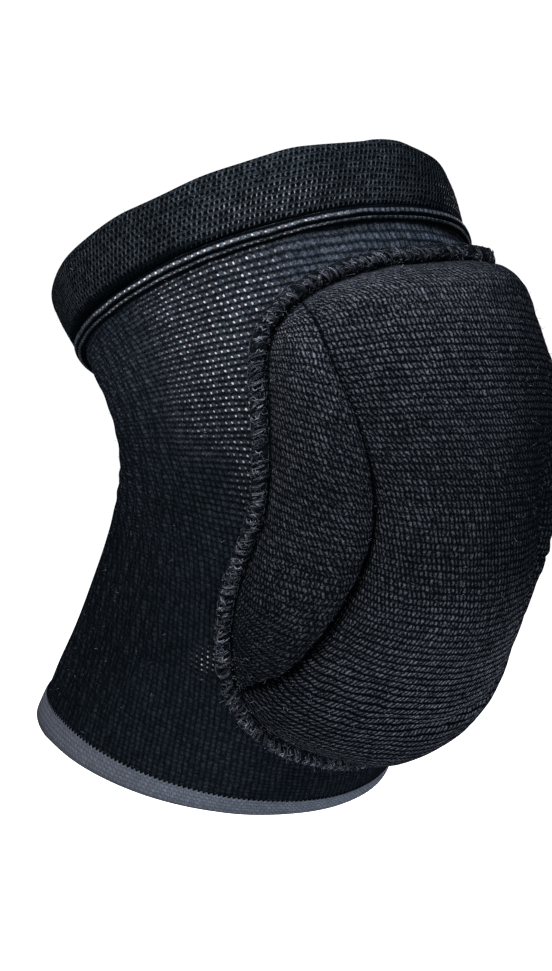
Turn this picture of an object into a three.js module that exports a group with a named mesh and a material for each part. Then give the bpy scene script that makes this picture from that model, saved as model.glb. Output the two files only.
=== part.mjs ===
// A knitted knee pad, in the form that it has on a bent knee: a ribbed sleeve with a folded cuff above
// and a bound hem below, and a foam pad under a stretched cover, sewn to the front.
// Millimetres, +Z up. The pad faces -Y, and X runs across the leg.
// The origin is the middle of the bend, on the centre line of the leg inside.
import * as THREE from "three";
import { LoftGeometry } from "three/addons/geometries/LoftGeometry.js";

const { degToRad, clamp, lerp } = THREE.MathUtils;

// How the leg inside is bent
const thighLean = degToRad(30); // back from upright, going up
const shinLean = degToRad(28); // back from upright, going down
const bendRadius = 80; // of the leg's centre line through the knee
const bendShare = 0.6; // how far up the sleeve the middle of the bend lies

// Sleeve
const sleeveLength = 182; // hem edge to cuff edge, along the leg's centre line
const kneeDepth = 119; // front to back at the knee
const kneeWidth = 113; // across the knee
const knitWall = 1.8;
const clearance = 0.3; // left between pieces that touch in the real thing

// Folded cuff, its rolled welt and the bound hem
const cuffHeight = 21;
const cuffWall = 3.6;
const cuffTuck = 1.4; // how much thinner the cuff is where it tucks in above the welt
const weltHeight = 5;
const weltRise = 2.4;
const hemHeight = 7;
const hemWall = 3;

// Pad
const coverWall = 1.5;
const centreRise = 17; // how far the cover bulges over the middle lobe
const wingRise = 18; // the same over each side wing
const foldRise = 11.5; // the same in the fold between them
const upperRound = 13; // how far in from its upper edge the pad reaches full height
const lowerRound = 18; // the same from its lower edge
const sideRound = 28; // the same from its side edges
const foldRound = 10; // the same from a fold
const swellPower = 2.3; // how round that rise is: 1 is a straight slope
const foamSlack = 0.7; // room above and below each foam lobe
const foamInset = 3; // foam kept back from the cover's side edges
const foldGap = 0.8; // half the gap between two foam lobes
const seamGap = 0.6; // from the cover's edge to the seam's bead
const seamWidth = 5.4;
const seamRise = 2.8;

// Fineness of the faceted walls
const roundSteps = 44;
const sleeveSteps = 15;
const padRows = 22;
const centreColumns = 12;
const wingColumns = 6;
const padColumns = centreColumns + 2 * wingColumns;
const centreEndRows = 2; // rows at the middle lobe's ends that hold no foam
const wingEndRows = 5; // the same at each thin tip of a wing
const borderCrowding = 0.7; // 0 spaces the pad's rows evenly, 1 crowds them to the borders
const seamSteps = 96;

// The leg's sections. up: share of the sleeve from its hem. front, back: share of the knee's depth from
// the centre line. side: share of its width. dip: how far the section's front hangs, share of the depth.
const legSections = [
  { up: 0.0, front: 0.43, back: 0.428, side: 0.565, dip: -0.056 },
  { up: 0.25, front: 0.505, back: 0.442, side: 0.502, dip: -0.005 },
  { up: 0.5, front: 0.535, back: 0.465, side: 0.507, dip: -0.004 },
  { up: 0.75, front: 0.53, back: 0.435, side: 0.572, dip: 0.043 },
  { up: 1.0, front: 0.58, back: 0.508, side: 0.598, dip: 0.04 },
];

// Half of the pad's edge, from its lowest point to its highest. around: degrees from the leg's front.
const padEdge = [
  { around: 0, up: 0.178 },
  { around: 16, up: 0.194 },
  { around: 29, up: 0.213 },
  { around: 39.5, up: 0.239 },
  { around: 48.5, up: 0.286 },
  { around: 55.3, up: 0.352 },
  { around: 59, up: 0.44 },
  { around: 54.5, up: 0.545 },
  { around: 51.8, up: 0.66 },
  { around: 48.2, up: 0.74 },
  { around: 38, up: 0.783 },
  { around: 21, up: 0.804 },
  { around: 0, up: 0.811 },
];
const lowerCorner = 4; // rows of that table where a fold meets the edge
const upperCorner = 10;
const cornerBlunt = 0.25; // rows that the wing's blunt tips take

// The fold between the middle lobe and a wing, between those two corners.
const foldLine = [
  { around: 42.8, up: 0.354 },
  { around: 34.3, up: 0.438 },
  { around: 29, up: 0.51 },
  { around: 28.3, up: 0.57 },
  { around: 31.3, up: 0.64 },
  { around: 36, up: 0.72 },
];

// One column of a table with evenly spaced keys, as a smooth curve.
function column(rows, name, at) {
  const place = clamp(at, 0, 1) * (rows.length - 1);
  const i = Math.min(Math.floor(place), rows.length - 2);
  const value = (k) => rows[clamp(k, 0, rows.length - 1)][name];
  const slope = (k) =>
    k <= 0 || k >= rows.length - 1
      ? value(k <= 0 ? 1 : k) - value(k <= 0 ? 0 : k - 1)
      : (value(k + 1) - value(k - 1)) / 2;
  const s = place - i;
  return (
    value(i) * (2 * s ** 3 - 3 * s ** 2 + 1) +
    slope(i) * (s ** 3 - 2 * s ** 2 + s) +
    value(i + 1) * (3 * s ** 2 - 2 * s ** 3) +
    slope(i + 1) * (s ** 3 - s ** 2)
  );
}

// A point of the leg's skin. around: radians from the front, up: share of the sleeve from its hem.
function legPoint(around, up) {
  const half = Math.cos(around) > 0 ? "front" : "back";
  const depth = kneeDepth * column(legSections, half, up) * Math.cos(around);
  const dip = kneeDepth * column(legSections, "dip", up) * Math.cos(around);
  const along = (up - bendShare) * sleeveLength - dip;
  const lean = clamp(along / bendRadius, -shinLean, thighLean);
  const straight = along - lean * bendRadius;
  return new THREE.Vector3(
    kneeWidth * column(legSections, "side", up) * Math.sin(around),
    bendRadius * (1 - Math.cos(lean)) +
      straight * Math.sin(lean) -
      depth * Math.cos(lean),
    bendRadius * Math.sin(lean) +
      straight * Math.cos(lean) +
      depth * Math.sin(lean),
  );
}

// The direction straight out of the skin at a point.
function legOut(around, up) {
  const step = 1e-3;
  const round = legPoint(around + step, up).sub(legPoint(around - step, up));
  const rise = legPoint(around, up + step).sub(legPoint(around, up - step));
  return round.cross(rise).normalize();
}

// A point lifted off the skin.
function skin(around, up, lift) {
  return legPoint(around, up).addScaledVector(legOut(around, up), lift);
}

// A band round the whole leg. Its profile is a closed loop of {height, lift}, in mm above the hem's edge
// along the centre line, and off the skin.
function band(profile) {
  const sections = [];
  for (let i = roundSteps; i >= 0; i--) {
    const around = ((i % roundSteps) / roundSteps) * 2 * Math.PI;
    sections.push(
      profile.map(({ height, lift }) =>
        skin(around, height / sleeveLength, lift),
      ),
    );
  }
  return new LoftGeometry(sections);
}

// A slab between two grids of points of the same size, closed round its rim.
function slab(top, bottom) {
  const rows = top.length;
  const columns = top[0].length;
  const points = [...top.flat(), ...bottom.flat()];
  const at = (r, c) => r * columns + c;
  const below = rows * columns;
  const faces = [];
  const quad = (a, b, c, d) => faces.push(a, b, c, a, c, d);
  for (let r = 0; r < rows - 1; r++) {
    for (let c = 0; c < columns - 1; c++) {
      quad(at(r, c), at(r, c + 1), at(r + 1, c + 1), at(r + 1, c));
      quad(
        below + at(r, c),
        below + at(r + 1, c),
        below + at(r + 1, c + 1),
        below + at(r, c + 1),
      );
    }
  }
  const rim = [];
  for (let c = 0; c < columns - 1; c++) rim.push(at(0, c));
  for (let r = 0; r < rows - 1; r++) rim.push(at(r, columns - 1));
  for (let c = columns - 1; c > 0; c--) rim.push(at(rows - 1, c));
  for (let r = rows - 1; r > 0; r--) rim.push(at(r, 0));
  rim.forEach((a, i) => {
    const b = rim[(i + 1) % rim.length];
    quad(a, below + a, below + b, b);
  });
  return new THREE.BufferGeometry().setFromPoints(points).setIndex(faces);
}

// The pad's whole edge as a closed curve of (around in radians, up), the right half first.
const edgePoints = [...padEdge, ...padEdge.slice(1, -1).reverse()].map(
  ({ around, up }, i) =>
    new THREE.Vector3(degToRad(i < padEdge.length ? around : -around), up, 0),
);
const edgeCurve = new THREE.CatmullRomCurve3(edgePoints, true, "catmullrom");

// A point of the edge, by its row in the table.
function edgeAt(row) {
  return edgeCurve.getPoint(
    THREE.MathUtils.euclideanModulo(row / edgePoints.length, 1),
  );
}

const foldCurve = new THREE.SplineCurve([
  new THREE.Vector2().copy(edgeAt(lowerCorner)),
  ...foldLine.map(
    ({ around, up }) => new THREE.Vector2(degToRad(around), up),
  ),
  new THREE.Vector2().copy(edgeAt(upperCorner)),
]);

// A patch of the (around, up) plane between four border curves, all running left to right or upwards.
function patch(left, right, low, high) {
  return (u, v) => {
    const mix = (name) =>
      (1 - v) * low(u)[name] +
      v * high(u)[name] +
      (1 - u) * left(v)[name] +
      u * right(v)[name] -
      (1 - u) * lerp(left(0)[name], left(1)[name], v) -
      u * lerp(right(0)[name], right(1)[name], v);
    return new THREE.Vector2(mix("x"), mix("y"));
  };
}

const mirrored = (curve) => (t) => {
  const point = curve(t);
  return new THREE.Vector2(-point.x, point.y);
};
const fold = (v) => foldCurve.getPoint(v);
const topRow = padEdge.length - 1;
const centrePatch = patch(
  mirrored(fold),
  fold,
  (u) => edgeAt(lerp(-lowerCorner, lowerCorner, u)),
  (u) => edgeAt(topRow + lerp(topRow - upperCorner, upperCorner - topRow, u)),
);
const wingEdge = (v) =>
  edgeAt(lerp(lowerCorner + cornerBlunt, upperCorner - cornerBlunt, v));
const wingPatch = (u, v) => fold(v).lerp(wingEdge(v), u);

// Closely spaced points of a curve on the sleeve, which distances are taken to.
const distanceSamples = 240;
function onSleeve(curve) {
  return Array.from({ length: distanceSamples + 1 }, (_, i) => {
    const point = curve(i / distanceSamples);
    return skin(point.x, point.y, knitWall);
  });
}
const edgeOnSleeve = onSleeve((t) => edgeAt(t * edgePoints.length));
const foldsOnSleeve = [...onSleeve(fold), ...onSleeve(mirrored(fold))];
const nearest = (point, samples) =>
  Math.sqrt(Math.min(...samples.map((s) => s.distanceToSquared(point))));

// How far a padded surface has risen at a distance in from a line that holds it down: 0 to 1.
const swell = (distance, width) =>
  1 - (1 - Math.min(distance / width, 1)) ** swellPower;

const seat = knitWall + clearance; // where what is sewn to the sleeve begins
const endToSide = [degToRad(25), degToRad(50)]; // where a pad's end turns into its side

// The lift of the cover's outer face.
function coverLift(place, fullRise) {
  const onKnit = skin(place.x, place.y, knitWall);
  const edgeRound = lerp(
    place.y > 0.5 ? upperRound : lowerRound,
    sideRound,
    THREE.MathUtils.smoothstep(Math.abs(place.x), ...endToSide),
  );
  const outer = swell(nearest(onKnit, edgeOnSleeve), edgeRound);
  const inner = swell(nearest(onKnit, foldsOnSleeve), foldRound);
  const rise = outer * lerp(foldRise, fullRise, inner);
  return seat + clearance + coverWall + rise;
}

// How steeply that lift changes, as rise over run.
function coverSlope(place, fullRise) {
  const step = 3e-3;
  const slopeAlong = (x, y) => {
    const ahead = { x: place.x + x, y: place.y + y };
    const behind = { x: place.x - x, y: place.y - y };
    const run = skin(ahead.x, ahead.y, seat).distanceTo(
      skin(behind.x, behind.y, seat),
    );
    return (coverLift(ahead, fullRise) - coverLift(behind, fullRise)) / run;
  };
  return Math.hypot(slopeAlong(step, 0), slopeAlong(0, step));
}

// A point some depth under the cover's outer face, but no lower than lowest.
function underCover(place, fullRise, depth, lowest) {
  const stretch = Math.hypot(1, Math.min(coverSlope(place, fullRise), 2));
  const lift = coverLift(place, fullRise) - depth * stretch;
  return skin(place.x, place.y, Math.max(lift, lowest));
}

// Rows of points over a patch, closer together towards its borders.
function grid(area, rows, columns, pointAt) {
  const spread = (i, count) =>
    lerp(i / count, (1 - Math.cos((i / count) * Math.PI)) / 2, borderCrowding);
  return Array.from({ length: rows + 1 }, (_, r) =>
    Array.from({ length: columns + 1 }, (_, c) =>
      pointAt(area(spread(c, columns), spread(r, rows))),
    ),
  );
}

// One grid over the left wing, the middle lobe and the right wing.
function padGrid(pointAt) {
  const leftWing = (u, v) => mirrored((t) => wingPatch(t, v))(1 - u);
  const left = grid(leftWing, padRows, wingColumns, (p) =>
    pointAt(p, wingRise),
  );
  const centre = grid(centrePatch, padRows, centreColumns, (p) =>
    pointAt(p, centreRise),
  );
  const right = grid(wingPatch, padRows, wingColumns, (p) =>
    pointAt(p, wingRise),
  );
  return left.map((row, r) => [
    ...row.slice(0, -1),
    ...centre[r],
    ...right[r].slice(1),
  ]);
}

// The same grid with its first and last columns drawn in by some mm.
function narrowed(rows, first, last) {
  const towards = (point, next, amount) =>
    point
      .clone()
      .lerp(next, Math.min(amount / point.distanceTo(next), 0.9));
  return rows.map((row) => [
    towards(row[0], row[1], first),
    ...row.slice(1, -1),
    towards(row.at(-1), row.at(-2), last),
  ]);
}

const coverFace = padGrid((place, fullRise) =>
  underCover(place, fullRise, 0, seat),
);
const coverInside = padGrid((place, fullRise) =>
  underCover(place, fullRise, coverWall, seat + clearance),
);
const foamSeat = knitWall + foamSlack;
const foamTop = padGrid((place, fullRise) =>
  underCover(place, fullRise, coverWall + foamSlack, foamSeat + 0.2),
);
const foamBottom = padGrid((place) => skin(place.x, place.y, foamSeat));

// A foam lobe: what the cover leaves room for between two columns of the grid.
function foamGeometry(firstColumn, lastColumn, endRows, leftGap, rightGap) {
  const part = (rows) =>
    narrowed(
      rows
        .slice(endRows, rows.length - endRows)
        .map((row) => row.slice(firstColumn, lastColumn + 1)),
      leftGap,
      rightGap,
    );
  return slab(part(foamTop), part(foamBottom));
}

// The overlocked seam: a half-round bead just outside the cover's edge.
function seamGeometry() {
  const beadPoints = 6;
  const sections = [];
  for (let i = 0; i <= seamSteps; i++) {
    const row = ((i % seamSteps) / seamSteps) * edgePoints.length;
    const here = edgeAt(row);
    const ahead = edgeAt(row + 0.05);
    const foot = skin(here.x, here.y, seat);
    const out = legOut(here.x, here.y);
    const forward = skin(ahead.x, ahead.y, seat).sub(foot).normalize();
    const outward = new THREE.Vector3().crossVectors(forward, out).normalize();
    const ring = [];
    for (let k = 0; k < beadPoints; k++) {
      const turn = (k / (beadPoints - 1)) * Math.PI;
      const across = seamGap + (seamWidth / 2) * (1 - Math.cos(turn));
      ring.push(
        foot
          .clone()
          .addScaledVector(outward, across)
          .addScaledVector(out, seamRise * Math.sin(turn)),
      );
    }
    sections.push(ring);
  }
  return new LoftGeometry(sections);
}

// Profiles of the bands round the leg
const cuffLow = sleeveLength - cuffHeight;
const cuffProfile = [
  { height: cuffLow, lift: 0 },
  { height: cuffLow, lift: cuffWall - cuffTuck },
  { height: cuffLow + cuffHeight * 0.14, lift: cuffWall },
  { height: cuffLow + cuffHeight * 0.55, lift: cuffWall },
  { height: sleeveLength - cuffWall / 2, lift: cuffWall - 0.3 },
  { height: sleeveLength, lift: cuffWall / 2 },
  { height: sleeveLength - cuffWall / 4, lift: 0 },
  { height: cuffLow + cuffHeight * 0.5, lift: 0 },
];
const weltHigh = cuffLow - clearance;
const weltLow = weltHigh - weltHeight;
const weltProfile = [
  { height: weltLow, lift: seat },
  { height: weltLow + weltHeight * 0.12, lift: seat + weltRise * 0.6 },
  { height: weltLow + weltHeight * 0.4, lift: seat + weltRise },
  { height: weltLow + weltHeight * 0.7, lift: seat + weltRise * 0.9 },
  { height: weltHigh, lift: seat + weltRise * 0.4 },
  { height: weltHigh, lift: seat },
];
const hemProfile = [
  { height: 0, lift: hemWall * 0.3 },
  { height: hemHeight * 0.12, lift: hemWall * 0.85 },
  { height: hemHeight * 0.5, lift: hemWall },
  { height: hemHeight - clearance, lift: hemWall * 0.8 },
  { height: hemHeight - clearance, lift: 0 },
  { height: hemHeight * 0.12, lift: 0 },
];
const sleeveHeights = Array.from({ length: sleeveSteps + 1 }, (_, i) =>
  lerp(hemHeight, cuffLow - clearance, i / sleeveSteps),
);
const sleeveProfile = [
  ...sleeveHeights.map((height) => ({ height, lift: knitWall })),
  ...sleeveHeights.map((height) => ({ height, lift: 0 })).reverse(),
];

// Finishes
const cloth = (color, roughness) =>
  new THREE.MeshStandardMaterial({ color, roughness, metalness: 0 });
const blackKnit = cloth(0x15181f, 0.95);
const coverKnit = cloth(0x191c24, 0.9);
const greyKnit = cloth(0x56616e, 0.95);
const seamThread = cloth(0x1d2029, 0.85);
const padFoam = cloth(0x2a2a2c, 1);

const kneePad = new THREE.Group();
kneePad.name = "knee_pad";

function add(name, geometry, material) {
  const mesh = new THREE.Mesh(geometry, material);
  mesh.name = name;
  kneePad.add(mesh);
}

add("sleeve", band(sleeveProfile), blackKnit);
add("top_cuff", band(cuffProfile), blackKnit);
add("cuff_welt", band(weltProfile), blackKnit);
add("bottom_hem", band(hemProfile), greyKnit);
add("pad_cover", slab(coverFace, coverInside), coverKnit);
add("pad_seam", seamGeometry(), seamThread);

const centreEnd = wingColumns + centreColumns;
add(
  "foam_centre",
  foamGeometry(wingColumns, centreEnd, centreEndRows, foldGap, foldGap),
  padFoam,
);
add(
  "foam_wing_left",
  foamGeometry(0, wingColumns, wingEndRows, foamInset, foldGap),
  padFoam,
);
add(
  "foam_wing_right",
  foamGeometry(centreEnd, padColumns, wingEndRows, foldGap, foamInset),
  padFoam,
);

export default kneePad;
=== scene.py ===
import math

import bpy
import numpy as np
from mathutils import Matrix, Vector


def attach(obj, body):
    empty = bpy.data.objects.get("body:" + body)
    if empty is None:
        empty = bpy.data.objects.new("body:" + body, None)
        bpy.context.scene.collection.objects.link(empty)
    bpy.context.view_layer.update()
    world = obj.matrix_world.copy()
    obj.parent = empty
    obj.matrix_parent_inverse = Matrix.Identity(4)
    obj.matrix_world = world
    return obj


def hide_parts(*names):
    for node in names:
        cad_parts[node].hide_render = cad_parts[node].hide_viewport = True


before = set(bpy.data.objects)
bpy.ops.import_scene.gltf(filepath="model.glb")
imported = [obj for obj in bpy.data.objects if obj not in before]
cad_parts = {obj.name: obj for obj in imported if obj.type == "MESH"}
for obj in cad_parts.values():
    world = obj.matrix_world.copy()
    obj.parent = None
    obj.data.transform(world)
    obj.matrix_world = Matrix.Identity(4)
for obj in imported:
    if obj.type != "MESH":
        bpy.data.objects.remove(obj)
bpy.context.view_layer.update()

mm = 0.001
dice = np.random.default_rng(7)  # every scatter below draws from this, in the same order each run
print("frame loaded")

# Everything follows the bent bore inside the sleeve. A place on it is (around, up): radians from its front
# towards +X, and the share of the sleeve from its hem. Lengths are in mm until a mesh is made.
bore = {
    "thighLean": math.radians(30), "shinLean": math.radians(28), "bendRadius": 80, "bendShare": 0.6,
    "length": 182, "depth": 119, "width": 113,
    "measuredAt": math.radians(80),  # where the lengths along a band's profile are taken
    # half depths before and behind the centre line, half widths, and how far the rows dip in front, hem to cuff
    "front": [0.43, 0.505, 0.535, 0.53, 0.58],
    "back": [0.428, 0.442, 0.465, 0.435, 0.508],
    "side": [0.565, 0.502, 0.507, 0.572, 0.598],
    "dip": [-0.056, -0.005, -0.004, 0.043, 0.04],
}


def column(name, up):
    values = np.array(bore[name])
    slopes = np.gradient(values)
    place = np.clip(up, 0, 1) * (len(values) - 1)
    i = np.minimum(place.astype(int), len(values) - 2)
    s = place - i
    return (
        values[i] * (2 * s**3 - 3 * s**2 + 1)
        + slopes[i] * (s**3 - 2 * s**2 + s)
        + values[i + 1] * (3 * s**2 - 2 * s**3)
        + slopes[i + 1] * (s**3 - s**2)
    )


def borePoint(around, up):
    depth = bore["depth"] * np.where(np.cos(around) > 0, column("front", up), column("back", up)) * np.cos(around)
    along = (up - bore["bendShare"]) * bore["length"] - bore["depth"] * column("dip", up) * np.cos(around)
    lean = np.clip(along / bore["bendRadius"], -bore["shinLean"], bore["thighLean"])
    straight = along - lean * bore["bendRadius"]
    x = bore["width"] * column("side", up) * np.sin(around)
    y = bore["bendRadius"] * (1 - np.cos(lean)) + straight * np.sin(lean) - depth * np.cos(lean)
    z = bore["bendRadius"] * np.sin(lean) + straight * np.cos(lean) + depth * np.sin(lean)
    return np.stack([x, y, z], -1)


def unit(vectors):
    return vectors / np.linalg.norm(vectors, axis=-1, keepdims=True)


def boreOut(around, up):  # the way straight out of the bore
    step = 1e-3
    sideways = borePoint(around + step, up) - borePoint(around - step, up)
    return unit(np.cross(sideways, borePoint(around, up + step) - borePoint(around, up - step)))


def offBore(around, up, lift):
    around, up = np.broadcast_arrays(np.asarray(around, float), np.asarray(up, float))
    return borePoint(around, up) + boreOut(around, up) * np.asarray(lift, float)[..., None]


def offPlaces(places, lift):  # the same, for rows of (around, up)
    return offBore(places[..., 0], places[..., 1], lift)


def ease(value, start, end):  # 0 before start, 1 after end, smooth between
    t = np.clip((np.asarray(value, float) - start) / (end - start), 0, 1)
    return t * t * (3 - 2 * t)


def hump(value, low, high, soft):  # 1 between low and high, 0 outside, with soft ends
    return ease(value, low - soft, low + soft) * (1 - ease(value, high - soft, high + soft))


def sideOf(around):  # degrees from the front, to either side
    return np.degrees(np.abs(around))


def runOf(points):  # mm along a row of points, from its first
    return np.concatenate([[0], np.cumsum(np.linalg.norm(np.diff(points, axis=0), axis=-1))])


def waves(points, size, seed, count=14):  # smooth lumps about that many mm wide, from -1 to 1
    own = np.random.default_rng(seed)
    total = np.zeros(points.shape[:-1])
    for _ in range(count):
        way = unit(own.normal(size=3)) * 2 * math.pi / (size * own.uniform(0.7, 1.6))
        total += np.sin(points @ way + own.uniform(0, 2 * math.pi))
    return total / math.sqrt(count)


# Meshes
def addPiece(name, points, faces, knit=None, tones=None):
    mesh = bpy.data.meshes.new(name)
    mesh.from_pydata((np.asarray(points) * mm).tolist(), [], faces if isinstance(faces, list) else faces.tolist())
    mesh.polygons.foreach_set("use_smooth", [True] * len(mesh.polygons))
    if knit is not None:  # places on the knit, in mm, one for each corner of each face
        mesh.uv_layers.new(name="knit").data.foreach_set("uv", np.asarray(knit, np.float32).ravel())
    for tone, values in (tones or {}).items():
        mesh.attributes.new(tone, "FLOAT", "POINT").data.foreach_set("value", np.asarray(values, np.float32).ravel())
    mesh.update()
    piece = bpy.data.objects.new(name, mesh)
    bpy.context.scene.collection.objects.link(piece)
    return piece


def dress(piece, material, node=None):
    piece.data.materials.append(material)
    if node:
        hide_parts(node)


def gridFaces(rows, columns, roundIt=False, closed=False):
    rowCount, columnCount = rows - (not closed), columns - (not roundIt)
    r, c = np.meshgrid(np.arange(rowCount), np.arange(columnCount), indexing="ij")
    nextR, nextC = (r + 1) % rows, (c + 1) % columns
    faces = np.stack([r * columns + c, r * columns + nextC, nextR * columns + nextC, nextR * columns + c], -1)
    corners = np.stack([np.stack([r + i, c + j], -1) for i, j in ((0, 0), (0, 1), (1, 1), (1, 0))], -2)
    return faces.reshape(-1, 4), corners.reshape(-1, 4, 2)


def shellFaces(rows, columns):
    # Two layers of one grid, the outer first, closed along their rim; each corner's row and column come too
    faces, corners = gridFaces(rows, columns)
    rim = [(0, c) for c in range(columns - 1)] + [(r, columns - 1) for r in range(rows - 1)]
    rim += [(rows - 1, c) for c in range(columns - 1, 0, -1)] + [(r, 0) for r in range(rows - 1, 0, -1)]
    rim = np.array(rim)
    rimNext, inner = np.roll(rim, -1, 0), rows * columns
    at, nextAt = rim[:, 0] * columns + rim[:, 1], rimNext[:, 0] * columns + rimNext[:, 1]
    allFaces = np.concatenate([faces, faces[:, ::-1] + inner, np.stack([at, at + inner, nextAt + inner, nextAt], -1)])
    return allFaces, np.concatenate([corners, corners[:, ::-1], np.stack([rim, rim, rimNext, rimNext], -2)])


def bandPiece(name, heights, lifts, form, shape, tones, run=None):
    # A band round the bore. Its profile is a closed loop of heights above the hem's edge and lifts off the bore.
    columns = form["columns"]
    around = np.linspace(0, 2 * math.pi, columns, endpoint=False)
    signed = (around + math.pi) % (2 * math.pi) - math.pi
    h, a = np.meshgrid(heights, signed, indexing="ij")
    h, lift = shape(a, h, np.repeat(lifts[:, None], columns, 1))
    points = offBore(a, h / bore["length"], lift)
    faces, corners = gridFaces(len(heights), columns, True, True)
    if run is None:
        profile = np.append(heights, heights[0]) / bore["length"], np.append(lifts, lifts[0])
        run = runOf(offBore(np.full(len(heights) + 1, bore["measuredAt"]), *profile))
    knit = np.stack([corners[..., 1] / columns * form["wales"] * form["waleSize"], run[corners[..., 0]]], -1)
    made = {tone: rule(a, h / bore["length"]) for tone, rule in tones.items()}
    return addPiece(name, points.reshape(-1, 3), faces, knit, made)


# Materials
def linear(hexColor):
    parts = [int(hexColor[i : i + 2], 16) / 255 for i in (1, 3, 5)]
    return [p / 12.92 if p <= 0.04045 else ((p + 0.055) / 1.055) ** 2.4 for p in parts] + [1]


def addNode(tree, kind, inputs=(), **settings):
    node = tree.nodes.new(kind)
    for name, value in settings.items():
        setattr(node, name, value)
    for key, value in inputs.items() if isinstance(inputs, dict) else enumerate(inputs):
        if isinstance(value, bpy.types.Node):
            value = value.outputs[0]
        if isinstance(value, bpy.types.NodeSocket):
            tree.links.new(value, node.inputs[key])
        elif value is not None:
            node.inputs[key].default_value = value
    return node


def calc(tree, operation, *values):
    return addNode(tree, "ShaderNodeMath", values, operation=operation)


def painted(tree, name):  # what a mesh says at each of its points
    return addNode(tree, "ShaderNodeAttribute", attribute_name=name).outputs["Fac"]


def smooth(tree, value, start, end, low, high):
    return addNode(tree, "ShaderNodeMapRange", [value, start, end, low, high], interpolation_type="SMOOTHSTEP")


def plainRange(tree, value, start, end, spread):  # from 1 - spread to 1 + spread
    return addNode(tree, "ShaderNodeMapRange", [value, start, end, 1 - spread, 1 + spread])


def blend(tree, factor, low, high, **settings):
    inputs = {"Factor": factor, 6: low, 7: high}
    return addNode(tree, "ShaderNodeMix", inputs, data_type="RGBA", **settings).outputs[2]


def finishMaterial(tree, shader, color, height, relief):
    bump = addNode(tree, "ShaderNodeBump", {"Strength": 1, "Distance": relief * mm, "Height": height})
    tree.links.new(color, shader.inputs["Base Color"])
    tree.links.new(bump.outputs["Normal"], shader.inputs["Normal"])


def newMaterial(name, finish):
    material = bpy.data.materials.new(name)
    material.use_nodes = True
    shader = material.node_tree.nodes["Principled BSDF"]
    for socket, value in finish.items():
        shader.inputs[socket].default_value = value
    return material, material.node_tree, shader


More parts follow.
